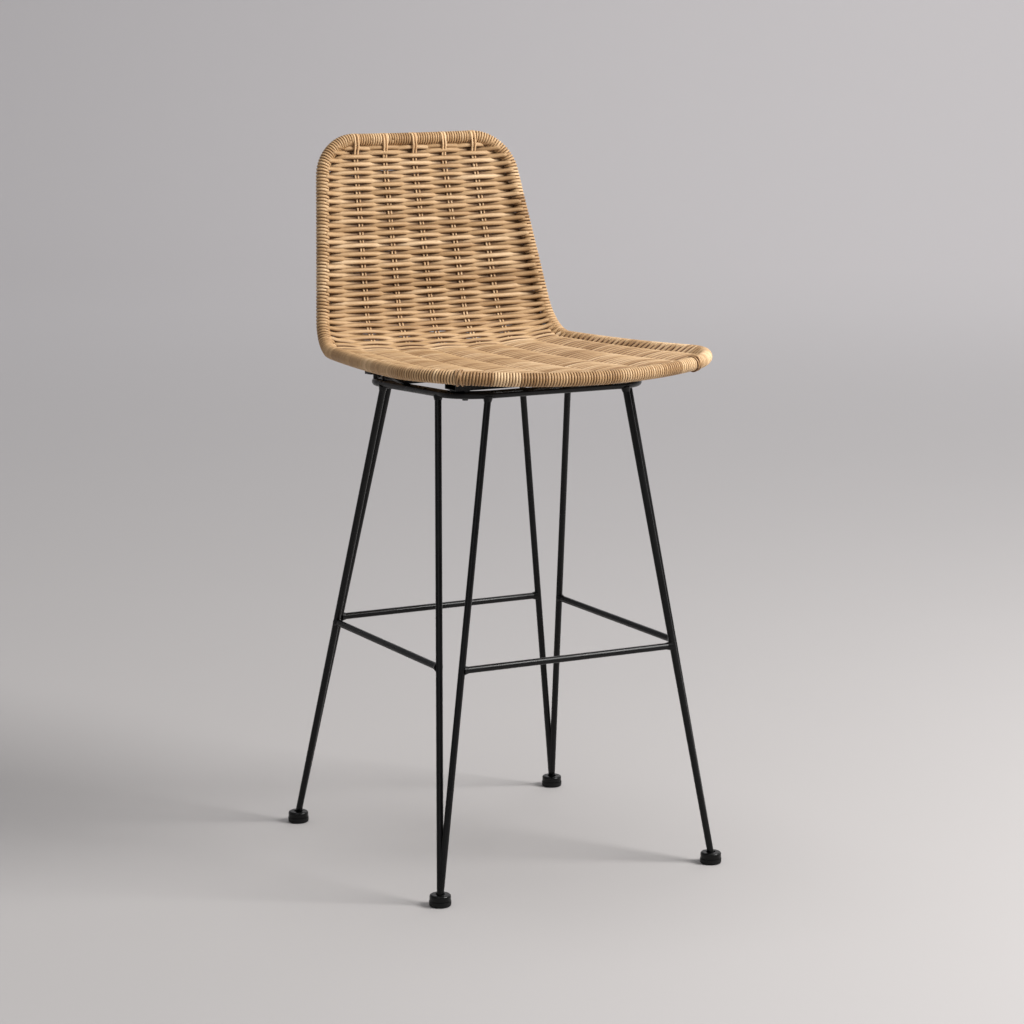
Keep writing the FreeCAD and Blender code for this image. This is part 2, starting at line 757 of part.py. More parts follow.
def ring_post(name, sx, sy, angle, low, ring):
    """A short post from the ring's bend up to the underside of a tube."""
    foot = bend_point(sx, sy, angle, size("ring_corner_radius"))
    post = upright(name, "sizes.post_radius", foot.x, foot.y, foot.z, low)
    return cut(name + "_coped", post, ring)


def ring_tab(name, sx, sy, ring):
    """A small plate welded inside a bend, with a clear hole for the screw."""
    screw = bend_point(sx, sy, "corner_angle", size("screw_reach"))
    outward = bend_point(sx, sy, "corner_angle", size("ring_corner_radius")) - screw
    turn = Rotation(Vector(0, 0, 1), math.degrees(math.atan2(outward.y, outward.x)))
    low = screw.z - size("tab_drop") - size("tab_thickness")
    tab = doc.addObject("Part::Box", name)
    outer = "sizes.ring_corner_radius - sizes.tab_inset"
    tab.setExpression("Length", outer + " - sizes.screw_reach + sizes.tab_reach")
    tab.setExpression("Width", "sizes.tab_width")
    tab.setExpression("Height", "sizes.tab_thickness")
    start = turn.multVec(Vector(-size("tab_reach"), -size("tab_width") / 2, 0))
    tab.Placement = Placement(Vector(screw.x, screw.y, low) + start, turn)
    clear = doc.addObject("Part::Cylinder", name + "_clear")
    clear.setExpression("Radius", "sizes.screw_radius + sizes.hole_play")
    clear.setExpression("Height", "sizes.tab_thickness + 2 * sizes.cut_margin")
    clear.Placement = Placement(Vector(screw.x, screw.y, low - size("cut_margin")), Rotation())
    return cut(name + "_coped", cut(name + "_drilled", tab, clear), ring), low


def seat_screw(name, sx, sy, tab_low, tube_low):
    """A screw up through a tab into the lower wall of a tube."""
    place = bend_point(sx, sy, "corner_angle", size("screw_reach"))
    head_low = tab_low - size("screw_head_height")
    head_middle = tab_low - size("screw_head_height") / 2
    tip = tube_low + size("screw_grip")
    screw = doc.addObject("Part::Fuse", name)
    screw.Base = upright(name + "_shank", "sizes.screw_radius", place.x, place.y, head_middle, tip)
    screw.Tool = upright(name + "_head", "sizes.screw_head_radius", place.x, place.y, head_low, tab_low)
    return screw


def strap():
    """A flat bar across the ring whose ends rise to the underside of the rim."""
    y = size("strap_y")
    thick = size("strap_thickness")
    low = size("ring_rod_radius")
    down = seat_distance(y)
    rim_x = half_width(down, 0.0)
    rim_low = shell_point(rim_x, down).z - size("wrap_radius")
    lift = rim_low - (ring_top(y) - size("ring_rod_radius")) - low - thick - size("strap_gap")
    body = doc.addObject("PartDesign::Body", "strap_body")
    sketch = body.newObject("Sketcher::SketchObject", "strap_profile")
    sketch.AttachmentSupport = [(origin_plane(body, "XZ_Plane"), "")]
    sketch.MapMode = "FlatFace"
    bend = size("ring_half_width") + size("strap_flat_end")
    rise = rim_x - size("strap_rise_end")
    end = rim_x - size("strap_end")
    under = [(-end, lift), (-rise, lift), (-bend, 0), (bend, 0), (rise, lift), (end, lift)]
    over = [(x, z + thick) for x, z in reversed(under)]
    outline = [Vector(x, z + low, 0) for x, z in under + over]
    for first, second in zip(outline, outline[1:] + outline[:1]):
        sketch.addGeometry(Part.LineSegment(first, second))
    pad = body.newObject("PartDesign::Pad", "strap_pad")
    pad.Profile = sketch
    pad.Midplane = True
    pad.setExpression("Length", "sizes.strap_width")
    body.Tip = pad
    place = ring_point(0, y - size("ring_centre_y"))
    body.Placement = Placement(place, RING_PLACEMENT.Rotation)
    doc.recompute()
    return node(body, "centre_strap")


def seat_supports(ring):
    posts = []
    tabs = []
    screws = []
    for label, sy in (("front_seat_tube", -1), ("rear_seat_tube", 1)):
        tube_low = seat_tube(label, sy)[1]
        for sx, hand in ((-1, "left"), (1, "right")):
            name = "%s_%s" % (label, hand)
            posts.append(ring_post(name + "_side_post", sx, sy, "post_side_angle", tube_low, ring))
            posts.append(ring_post(name + "_rail_post", sx, sy, "post_rail_angle", tube_low, ring))
            tab, tab_low = ring_tab(name + "_tab", sx, sy, ring)
            tabs.append(tab)
            screws.append(seat_screw(name + "_screw", sx, sy, tab_low, tube_low))
    group("ring_posts", posts)
    group("ring_tabs", tabs)
    group("seat_screws", screws)
    strap()


# ---------------------------------------------------------------- build

ring = seat_ring()
rods = legs(ring)
ends = stretchers(rods)
ring_welds(ring, rods)
stretcher_welds(ends)
feet()
rim(rim_curve())
woven_panels()
stakes()
seat_supports(ring)
doc.recompute()

os.makedirs("parts", exist_ok=True)
for obj in doc.Objects:
    bad = [state for state in obj.State if state in ("Invalid", "Error")]
    if bad:
        raise RuntimeError("%s is %s" % (obj.Name, bad))
for obj in NODES:
    shape = obj.Shape
    if shape.isNull() or not shape.isValid() or not shape.Solids:
        raise RuntimeError("%s has no valid solid" % obj.Label)
    shape.exportStep("parts/%s.step" % obj.Label)
    print(obj.Label, len(shape.Solids), round(shape.Volume / 1000.0, 2), shape.BoundBox)
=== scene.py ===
import math

import bpy
import numpy as np
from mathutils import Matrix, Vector


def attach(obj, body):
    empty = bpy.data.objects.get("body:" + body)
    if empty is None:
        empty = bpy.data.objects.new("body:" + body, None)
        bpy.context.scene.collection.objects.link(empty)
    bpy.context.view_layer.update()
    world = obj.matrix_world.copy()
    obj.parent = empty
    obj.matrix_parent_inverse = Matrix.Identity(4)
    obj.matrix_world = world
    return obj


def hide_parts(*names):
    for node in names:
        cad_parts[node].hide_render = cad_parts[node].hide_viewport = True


# Bar stool with footrest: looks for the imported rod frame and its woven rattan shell.
# Metres, +X right, -Y front, +Z up.

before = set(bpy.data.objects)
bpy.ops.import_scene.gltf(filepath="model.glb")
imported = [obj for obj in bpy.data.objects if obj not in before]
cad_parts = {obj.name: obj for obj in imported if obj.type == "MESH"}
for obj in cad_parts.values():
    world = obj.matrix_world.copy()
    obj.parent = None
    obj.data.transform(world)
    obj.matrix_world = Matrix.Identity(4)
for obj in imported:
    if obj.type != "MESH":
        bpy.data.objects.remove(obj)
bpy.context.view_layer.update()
rng = np.random.default_rng(7)

# ---------------------------------------------------------------- shell shape, as in the CAD part

SEAT_FRONT = (-0.2207, 0.7509)
SEAT_FRONT_ANGLE = math.radians(-3.1)
SEAT_LENGTH, SEAT_TURN = 0.382, math.radians(3.5)
CREASE_RADIUS, CREASE_TURN = 0.0754, math.radians(75.7)
BACK_LENGTH, BACK_TURN = 0.2685, math.radians(-0.9)
CREASE_LENGTH = CREASE_RADIUS * CREASE_TURN
SHELL_LENGTH = SEAT_LENGTH + CREASE_LENGTH + BACK_LENGTH
TOP_HALF_WIDTH, CREASE_HALF_WIDTH, FRONT_HALF_WIDTH = 0.1567, 0.1979, 0.2527
TOP_CORNER_RADIUS, FRONT_CORNER_RADIUS = 0.055, 0.077
FRONT_BOW, BOW_START = 0.0796, 0.120
SEAT_HOLLOW, BACK_HOLLOW = 0.234, 0.373
POLE_RADIUS, WRAP_RADIUS = 0.008, 0.0105


def arc_point(point, heading, turn, length, travel):
    """Where an arc of this turn and length has got to after some travel: y, z and heading."""
    bend = turn / length
    new = heading + bend * travel
    y = point[0] + (np.sin(new) - math.sin(heading)) / bend
    z = point[1] - (np.cos(new) - math.cos(heading)) / bend
    return y, z, new


def profile(down):
    """Centre line of the shell: y, z and heading at a distance down from the top edge."""
    travel = SHELL_LENGTH - np.asarray(down, float)
    pieces = [(SEAT_TURN, SEAT_LENGTH), (CREASE_TURN, CREASE_LENGTH), (BACK_TURN, BACK_LENGTH)]
    point, heading = SEAT_FRONT, SEAT_FRONT_ANGLE
    y, z, turn_here = arc_point(point, heading, *pieces[0], travel)
    start = 0.0
    for index, (turn, length) in enumerate(pieces):
        if index:
            here = arc_point(point, heading, turn, length, travel - start)
            later = travel > start
            y = np.where(later, here[0], y)
            z = np.where(later, here[1], z)
            turn_here = np.where(later, here[2], turn_here)
        end = arc_point(point, heading, turn, length, length)
        point, heading = (float(end[0]), float(end[1])), float(end[2])
        start += length
    return y, z, turn_here


def eased(share):
    """A share of 0 to 1 with a soft start and end."""
    share = np.clip(share, 0.0, 1.0)
    return share * share * (3 - 2 * share)


def hollow(down):
    """How strongly the shell curves sideways, per metre."""
    share = eased((down - BACK_LENGTH) / CREASE_LENGTH)
    return BACK_HOLLOW * (1 - share) + SEAT_HOLLOW * share


def shell(x, down, lift=0.0):
    """Points of the shell: x sideways, down from the top edge, lift towards the sitter."""
    x, down = np.broadcast_arrays(np.asarray(x, float), np.asarray(down, float))
    y, z, heading = profile(down)
    rise = hollow(down) * x * x + lift
    return np.stack([x, y - np.sin(heading) * rise, z + np.cos(heading) * rise], -1)


def shell_normal(x, down):
    """Unit vectors towards the sitter."""
    step = 0.001
    across = shell(x + step, down) - shell(x - step, down)
    along = shell(x, down + step) - shell(x, down - step)
    out = np.cross(across, along)
    out /= np.linalg.norm(out, axis=-1, keepdims=True)
    toward = shell(x, down, step) - shell(x, down)
    flip = np.sign((out * toward).sum(-1, keepdims=True))
    return out * flip


def side_line(down):
    """Half width of the shell's sides, before its corners are rounded."""
    bend = BACK_LENGTH + CREASE_LENGTH / 2
    return np.interp(down, [0.0, bend, SHELL_LENGTH], [TOP_HALF_WIDTH, CREASE_HALF_WIDTH, FRONT_HALF_WIDTH])


def rim_outline():
    """Right half of the rim's centre line as (x, down), from the top middle to the front middle."""
    angle = np.linspace(0, math.pi / 2, 40)
    reach = TOP_CORNER_RADIUS * (1 - np.cos(angle))
    top = np.stack([side_line(reach) - TOP_CORNER_RADIUS * (1 - np.sin(angle)), reach], -1)
    reach = FRONT_CORNER_RADIUS * (1 - np.cos(angle[::-1]))
    down = SHELL_LENGTH - reach
    front = np.stack([side_line(down) - FRONT_CORNER_RADIUS * (1 - np.sin(angle[::-1])), down], -1)
    sides = np.linspace(TOP_CORNER_RADIUS, SHELL_LENGTH - FRONT_CORNER_RADIUS, 120)[1:-1]
    side = np.stack([side_line(sides), sides], -1)
    start = np.stack([np.linspace(0, top[0, 0], 40)[:-1], np.zeros(39)], -1)
    edge = np.linspace(front[-1, 0], 0, 60)[1:]
    end = np.stack([edge, np.full(59, SHELL_LENGTH)], -1)
    line = np.concatenate([start, top, side, front, end])
    share = np.clip((line[:, 1] - SHELL_LENGTH + BOW_START) / BOW_START, 0, 1)
    line[:, 1] += FRONT_BOW * share * (1 - (line[:, 0] / FRONT_HALF_WIDTH) ** 2)
    return line


RIM = rim_outline()
FRONT_EDGE = RIM[np.argmax(RIM[:, 0]):][::-1]


def half_width(down):
    """Half width of the shell between the rim's centre lines."""
    return np.interp(down, RIM[:, 1], RIM[:, 0])


def front_distance(x):
    """Distance from the top edge to the rim's centre line at the front, at a sideways place x."""
    return np.interp(np.abs(x), FRONT_EDGE[:, 0], FRONT_EDGE[:, 1])


# ---------------------------------------------------------------- strands as meshes

# Painted shade on the strands: its floor, and how much it rises on the side that lies against other strands.
PAINTED_SHADE_START, PAINTED_SHADE_GAIN = 0.5, 0.46
UV_SPREAD = 40.0


def unit(v):
    """Vectors made one long."""
    return v / np.maximum(np.linalg.norm(v, axis=-1, keepdims=True), 1e-12)


def strand(points, reference, wide, thick, tone, inner=0.0):
    """One strand: its centre points, the direction its thickness faces, half width, half thickness, tone.

    Inner is above zero where the faced side lies against other strands and below where the other side does;
    the side lying against them gets painted shade.
    """
    count = len(points)
    return {
        "points": np.asarray(points, float),
        "reference": np.broadcast_to(reference, (count, 3)),
        "wide": np.broadcast_to(wide, (count,)),
        "thick": np.broadcast_to(thick, (count,)),
        "tone": tone,
        "inner": np.broadcast_to(inner, (count,)),
    }


def tube_points(s, turn):
    """Rings of points round one strand, one point for each angle in turn."""
    p = s["points"]
    along = unit(np.gradient(p, axis=0))
    side = unit(np.cross(along, s["reference"]))
    face = np.cross(side, along)
    across = side[:, None] * (np.cos(turn)[None, :, None] * s["wide"][:, None, None])
    through = face[:, None] * (np.sin(turn)[None, :, None] * s["thick"][:, None, None])
    return (p[:, None] + across + through).reshape(-1, 3)


def tube_painted_shade(s, turn):
    """Painted shade at each point, from 0.5 to one: one at a strand's sides, where it meets its neighbours,
    and rising on the side that lies against other strands.
    """
    hidden = np.clip(s["inner"][:, None] * np.sin(turn), 0, 1)
    painted_shade = PAINTED_SHADE_START + PAINTED_SHADE_GAIN * hidden ** 2
    return np.maximum(np.abs(np.cos(turn)), painted_shade).reshape(-1)


def fill_mesh(name, coords, quads, caps, uvs):
    """A smooth mesh of quads and end caps, with its strand UVs."""
    loops = np.concatenate([quads.reshape(-1)] + caps)
    sizes = np.concatenate([np.full(len(quads), 4), [len(cap) for cap in caps]])
    mesh = bpy.data.meshes.new(name)
    mesh.vertices.add(len(coords))
    mesh.vertices.foreach_set("co", coords.reshape(-1).astype(np.float32))
    mesh.loops.add(len(loops))
    mesh.loops.foreach_set("vertex_index", loops.astype(np.int32))
    mesh.polygons.add(len(sizes))
    starts = np.concatenate([[0], np.cumsum(sizes)[:-1]])
    mesh.polygons.foreach_set("loop_start", starts.astype(np.int32))
    mesh.update(calc_edges=True)
    mesh.polygons.foreach_set("use_smooth", np.ones(len(sizes), bool))
    layer = mesh.uv_layers.new(name="strand")
    layer.data.foreach_set("uv", uvs.reshape(-1).astype(np.float32))
    return mesh


def strand_piece(name, strands, sides, material):
    """A mesh of closed, capped tubes with a UV that runs along and around each strand."""
    coords, quads, uvs, cap_uvs, tones, edges, caps = [], [], [], [], [], [], []
    first = 0
    turn = np.arange(sides) / sides * 2 * math.pi
    for s in strands:
        p = s["points"]
        n = len(p)
        coords.append(tube_points(s, turn))
        i, j = np.meshgrid(np.arange(n - 1), np.arange(sides), indexing="ij")
        k = (j + 1) % sides
        quad = np.stack([i * sides + j, i * sides + k, (i + 1) * sides + k, (i + 1) * sides + j], -1)
        quads.append(quad.reshape(-1, 4) + first)
        length = np.concatenate([[0], np.cumsum(np.linalg.norm(np.diff(p, axis=0), axis=1))])
        shift_u, shift_v = rng.uniform(0, UV_SPREAD, 2)
        around = float(np.mean(s["wide"])) * 2 * math.pi / sides
        u, u2 = length[i] + shift_u, length[i + 1] + shift_u
        v, v2 = j * around + shift_v, (j + 1) * around + shift_v
        corners = [np.stack(corner, -1) for corner in ((u, v), (u, v2), (u2, v2), (u2, v))]
        uvs.append(np.stack(corners, -2).reshape(-1, 2))
        cap_uvs.append(np.tile((length[0] + shift_u, shift_v), (sides, 1)))
        cap_uvs.append(np.tile((length[-1] + shift_u, shift_v), (sides, 1)))
        caps.append(first + np.arange(sides)[::-1])
        caps.append(first + (n - 1) * sides + np.arange(sides))
        tones.append(np.full(n * sides, s["tone"]))
        edges.append(tube_painted_shade(s, turn))
        first += n * sides
    mesh = fill_mesh(name, np.concatenate(coords), np.concatenate(quads), caps, np.concatenate(uvs + cap_uvs))
    # The edge attribute holds each point's painted shade.
    for label, values in (("tone", tones), ("edge", edges)):
        layer = mesh.attributes.new(label, "FLOAT", "POINT")
        layer.data.foreach_set("value", np.concatenate(values).astype(np.float32))
    mesh.validate()
    mesh.materials.append(material)
    obj = bpy.data.objects.new(name, mesh)
    bpy.context.scene.collection.objects.link(obj)
    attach(obj, "root")
    return obj


def show(piece, node):
    """Hides the CAD node that the piece stands for."""
    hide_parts(node)


# ---------------------------------------------------------------- materials

def linear(r, g, b):
    """An sRGB colour of 0 to 255 as linear RGBA."""
    out = []
    for c in (r, g, b):
        c /= 255
        out.append(c / 12.92 if c <= 0.04045 else ((c + 0.055) / 1.055) ** 2.4)
    return (*out, 1.0)


def new_material(name):
    """A material, its nodes, its links and its shader."""
    material = bpy.data.materials.new(name)
    material.use_nodes = True
    nodes = material.node_tree.nodes
    return material, nodes, material.node_tree.links, nodes["Principled BSDF"]


def noise(nodes, links, source, scale, detail=3.0, roughness=0.5):
    node = nodes.new("ShaderNodeTexNoise")
    node.inputs["Scale"].default_value = scale
    node.inputs["Detail"].default_value = detail
    node.inputs["Roughness"].default_value = roughness
    links.new(source, node.inputs["Vector"])
    return node.outputs["Fac"]


def ramp(nodes, links, source, stops):
    node = nodes.new("ShaderNodeValToRGB")
    while len(node.color_ramp.elements) < len(stops):
        node.color_ramp.elements.new(0.5)
    for element, (place, colour) in zip(node.color_ramp.elements, stops):
        element.position = place
        element.color = colour
    links.new(source, node.inputs["Fac"])
    return node.outputs["Color"]


def math_node(nodes, links, operation, a, b):
    node = nodes.new("ShaderNodeMath")
    node.operation = operation
    for index, value in enumerate((a, b)):
        if isinstance(value, (int, float)):
            node.inputs[index].default_value = value
        else:
            links.new(value, node.inputs[index])
    return node.outputs[0]


def map_range(nodes, links, source, low, high):
    """A value mapped from the range low to the range high."""
    node = nodes.new("ShaderNodeMapRange")
    node.inputs["From Min"].default_value = low[0]
    node.inputs["From Max"].default_value = low[1]
    node.inputs["To Min"].default_value = high[0]
    node.inputs["To Max"].default_value = high[1]
    links.new(source, node.inputs["Value"])
    return node


def attribute(nodes, name):
    node = nodes.new("ShaderNodeAttribute")
    node.attribute_name = name
    return node.outputs["Fac"]


def roughen(nodes, links, shader, height, strength, distance):
    """A bump from a height, joined to the shader."""
    bump = nodes.new("ShaderNodeBump")
    bump.inputs["Strength"].default_value = strength
    bump.inputs["Distance"].default_value = distance
    links.new(height, bump.inputs["Height"])
    links.new(bump.outputs["Normal"], shader.inputs["Normal"])


def stretched(nodes, links, scale):
    """Strand coordinates, metres along and around, stretched for grain."""
    uv = nodes.new("ShaderNodeUVMap")
    uv.uv_map = "strand"
    mapping = nodes.new("ShaderNodeMapping")
    mapping.inputs["Scale"].default_value = (*scale, 1.0)
    links.new(uv.outputs["UV"], mapping.inputs["Vector"])
    return mapping.outputs["Vector"]


def mix(nodes, links, blend, factor, a, b):
    node = nodes.new("ShaderNodeMix")
    node.data_type = "RGBA"
    node.blend_type = blend
    if isinstance(factor, (int, float)):
        node.inputs["Factor"].default_value = factor
    else:
        links.new(factor, node.inputs["Factor"])
    for socket, value in ((node.inputs[6], a), (node.inputs[7], b)):
        if isinstance(value, tuple):
            socket.default_value = value
        else:
            links.new(value, socket)
    return node.outputs[2]


FIBRE_SCALE, BLOTCH_SCALE, SPECK_SCALE = (60.0, 1600.0), (14.0, 60.0), (90.0, 420.0)
FIBRE_SHARE, BLOTCH_SHARE, SPECK_SHARE = 0.42, 0.46, 0.55
# The specks are marks of the cane itself; the second colour is painted shade for strand sides and for faces
# lying against other strands.
SPECK_COLOUR_SRGB, PAINTED_SHADE_COLOUR_SRGB = (172, 128, 88), (104, 60, 22)
NONE, FULL = (0, 0, 0, 1), (1, 1, 1, 1)


def rattan(name, dark, middle, light, own_tone, painted_shade_share, roughness, grain_bump):
    """Split cane: long fibres, blotches along each strand and a tone of its own for every strand, with
    painted shade multiplied in where the edge attribute is high.
    """
    material, nodes, links, shader = new_material(name)
    fibre = noise(nodes, links, stretched(nodes, links, FIBRE_SCALE), 1.0, 4.0, 0.6)
    blotch = noise(nodes, links, stretched(nodes, links, BLOTCH_SCALE), 1.0, 3.0, 0.55)
    fine = math_node(nodes, links, "MULTIPLY", fibre, FIBRE_SHARE)
    wide = math_node(nodes, links, "MULTIPLY", blotch, BLOTCH_SHARE)
    own = math_node(nodes, links, "MULTIPLY", attribute(nodes, "tone"), own_tone)
    total = math_node(nodes, links, "ADD", math_node(nodes, links, "ADD", fine, wide), own)
    base = ramp(nodes, links, total, [(0.30, dark), (0.58, middle), (0.86, light)])
    speck = noise(nodes, links, stretched(nodes, links, SPECK_SCALE), 1.0, 2.0, 0.5)
    spot = ramp(nodes, links, speck, [(0.66, NONE), (0.78, FULL)])
    spot = math_node(nodes, links, "MULTIPLY", spot, SPECK_SHARE)
    colour = mix(nodes, links, "MULTIPLY", spot, base, linear(*SPECK_COLOUR_SRGB))
    # Painted shade: the edge attribute multiplies the painted shade colour into strand sides and into faces
    # lying against other strands.
    shade = ramp(nodes, links, attribute(nodes, "edge"), [(0.55, NONE), (1.0, FULL)])
    shade = math_node(nodes, links, "MULTIPLY", shade, painted_shade_share)
    colour = mix(nodes, links, "MULTIPLY", shade, colour, linear(*PAINTED_SHADE_COLOUR_SRGB))
    links.new(colour, shader.inputs["Base Color"])
    shader.inputs["Specular IOR Level"].default_value = 0.22
    rough = map_range(nodes, links, blotch, (0.0, 1.0), (roughness - 0.08, roughness + 0.12))
    links.new(rough.outputs[0], shader.inputs["Roughness"])
    roughen(nodes, links, shader, fibre, grain_bump, 0.0004)
    return material


def coated_steel(name, colour, roughness, grain):
    """Satin powder coat: a fine orange-peel skin with faint rubbed and dusty patches."""
    material, nodes, links, shader = new_material(name)
    place = nodes.new("ShaderNodeTexCoord").outputs["Object"]
    skin = noise(nodes, links, place, grain, 3.0, 0.6)
    patch = noise(nodes, links, place, 14.0, 4.0, 0.6)
    lighter = tuple(min(1.0, c * 1.7 + 0.001) for c in colour[:3]) + (1.0,)
    links.new(ramp(nodes, links, patch, [(0.35, colour), (0.75, lighter)]), shader.inputs["Base Color"])
    rough = map_range(nodes, links, patch, (0.3, 0.7), (roughness - 0.07, roughness + 0.10))
    links.new(rough.outputs[0], shader.inputs["Roughness"])
    roughen(nodes, links, shader, skin, 0.18, 0.0003)
    shader.inputs["Specular IOR Level"].default_value = 0.24
    return material


def plain_metal(name, colour, roughness):
    """Black zinc-plated steel with a fine cloudy finish."""
    material, nodes, links, shader = new_material(name)
    place = nodes.new("ShaderNodeTexCoord").outputs["Object"]
    cloud = noise(nodes, links, place, 220.0, 4.0, 0.6)
    darker = tuple(c * 0.7 for c in colour[:3]) + (1.0,)
    links.new(ramp(nodes, links, cloud, [(0.3, darker), (0.7, colour)]), shader.inputs["Base Color"])
    rough = map_range(nodes, links, cloud, (0.0, 1.0), (roughness - 0.1, roughness + 0.15))
    links.new(rough.outputs[0], shader.inputs["Roughness"])
    shader.inputs["Metallic"].default_value = 1.0
    return material


WEAVE = rattan("rattan_weave", linear(138, 102, 62), linear(189, 155, 114), linear(238, 210, 172),
               0.24, 0.95, 0.50, 0.35)
PEEL = rattan("rattan_peel", linear(124, 88, 54), linear(188, 152, 110), linear(238, 207, 165),
              0.30, 0.90, 0.40, 0.30)
# Stake cane: lighter than the weavers, partly as painted light, so that the stakes look lit where they show
# between rows; it takes little painted shade.
STAKE = rattan("rattan_core", linear(184, 142, 98), linear(228, 192, 148), linear(250, 222, 182),
               0.30, 0.25, 0.48, 0.35)
BLACK = coated_steel("black_steel", linear(4, 4, 4), 0.27, 1500.0)
PLASTIC = coated_steel("glide_plastic", linear(6, 6, 6), 0.48, 2600.0)
SCREW = plain_metal("screw_steel", linear(58, 58, 60), 0.40)


def strand_tone():
    """A strand's own tone, 0 dark to 1 light."""
    return float(np.clip(rng.normal(0.5, 0.27), 0.0, 1.0))


# ---------------------------------------------------------------- woven panel

ROW_PITCH = 0.0063
STAKE_PAIR = 0.0026
STAKE_RADIUS = 0.0017
TOP_PITCH, FRONT_PITCH = 0.0505, 0.068
WEAVER_THICK = 0.0026
WEAVER_WIDE = 0.0038
LIFT = STAKE_RADIUS + WEAVER_THICK - 0.0003
CREASE_START = BACK_LENGTH + 0.6 * CREASE_LENGTH
RIM_ROOM = 0.0032
SAMPLE_STEP = 0.0045
RIM_TURN = 0.022
WEAVER_END = 0.0015
FLOAT_SHAPE = 0.85
WANDER, WANDER_DOWN = 0.00045, 0.0002
EXTRA_PAIR_ROOM, OUTER_PAIR_ROOM, STAKE_ROOM = 0.012, 0.010, 0.014


def column_pitch(down):
    """Distance between pairs of stakes, which spread towards the front."""
    return TOP_PITCH + (FRONT_PITCH - TOP_PITCH) * down / SHELL_LENGTH


def column_places(down):
    """Where one row crosses the stakes, rim to rim. The wide seat has one more pair of stakes each side."""
    pitch = column_pitch(down)
    inner = [pitch * k for k in (-2, -1, 0, 1, 2)]
    edge = half_width(down)
    if edge > 3 * pitch + EXTRA_PAIR_ROOM and down > CREASE_START:
        inner = [-3 * pitch] + inner + [3 * pitch]
        return [-edge] + inner + [edge], -4
    if edge < 2 * pitch + OUTER_PAIR_ROOM:
        inner = [x for x in inner if abs(x) < edge - STAKE_ROOM]
        first = -(len(inner) // 2) - 1
        return [-edge] + inner + [edge], first
    return [-edge] + inner + [edge], -3


def bend_share(down):
    """One inside the bend, where the rows are pressed together, and zero away from it."""
    reach = abs(down - CREASE_START) / (0.5 * CREASE_LENGTH)
    return float(np.clip(1.6 - reach, 0, 1))


def weaver(row, down):
    """One weaver, over and under the stakes, its ends turned round the rim."""
    places, first = column_places(down)
    edge = places[-1] - WEAVER_END
    x = np.linspace(-edge, edge, int(2 * edge / SAMPLE_STEP))
    index = np.interp(x, places, np.arange(len(places)) + first)
    swing = np.cos(math.pi * (index + row))
    shape = np.sign(swing) * np.abs(swing) ** FLOAT_SHAPE
    pressed = bend_share(down)
    lift = LIFT * shape * rng.uniform(0.94, 1.06) * (1 - 0.4 * pressed)
    near_rim = eased((np.abs(x) - edge + RIM_TURN) / RIM_TURN)
    lift = lift + near_rim * np.sign(swing) * (POLE_RADIUS - LIFT)
    wander = WANDER * np.sin(x * rng.uniform(20, 60) + rng.uniform(0, 6)) + rng.normal(0, WANDER_DOWN)
    line = down + wander
    behind = np.clip(-swing, 0, 1)
    between = 1 - np.abs(swing)
    wide = WEAVER_WIDE * rng.uniform(0.92, 1.08) + (0.0010 + 0.0008 * pressed) * behind
    wide = wide + (0.0008 + 0.0005 * pressed) * between
    points = shell(x, line, lift)
    return strand(points, shell_normal(x, line), wide, WEAVER_THICK, strand_tone(), -shape)


def weave():
    """Rows from the top rim to the front rim, in three pieces like the CAD panels."""
    margin = WRAP_RADIUS + RIM_ROOM
    end = RIM[-1, 1] - margin
    count = int((end - margin) / ROW_PITCH) + 1
    rows = {"back_weave": [weaver(1, margin - 0.0012)], "crease_weave": [], "seat_weave": []}
    for row in range(count):
        down = margin + row * ROW_PITCH
        if down < BACK_LENGTH:
            part = "back_weave"
        elif down < BACK_LENGTH + CREASE_LENGTH:
            part = "crease_weave"
        else:
            part = "seat_weave"
        rows[part].append(weaver(row, down))
    for part, strands in rows.items():
        piece = strand_piece("woven_" + part.split("_")[0], strands, 8, WEAVE)
        show(piece, part)


# ---------------------------------------------------------------- stakes

STAKE_STEP = 0.004
STAKE_END = 0.006
STAKE_SWAY, SWAY_RATE = 0.0003, 55


def smooth_path(points, step):
    """A Catmull-Rom curve through the points, resampled evenly."""
    p = np.asarray(points, float)
    p = np.concatenate([[2 * p[0] - p[1]], p, [2 * p[-1] - p[-2]]])
    t = np.linspace(0, 1, 12, endpoint=False)[:, None]
    out = []
    for a, b, c, d in zip(p, p[1:], p[2:], p[3:]):
        out.append(0.5 * (2 * b + (c - a) * t + (2 * a - 5 * b + 4 * c - d) * t**2
                          + (3 * b - a - 3 * c + d) * t**3))
    out = np.concatenate(out + [p[-2:-1]])
    length = np.concatenate([[0], np.cumsum(np.linalg.norm(np.diff(out, axis=0), axis=1))])
    even = np.linspace(0, length[-1], max(8, int(length[-1] / step)))
    return np.stack([np.interp(even, length, out[:, k]) for k in range(out.shape[1])], -1)


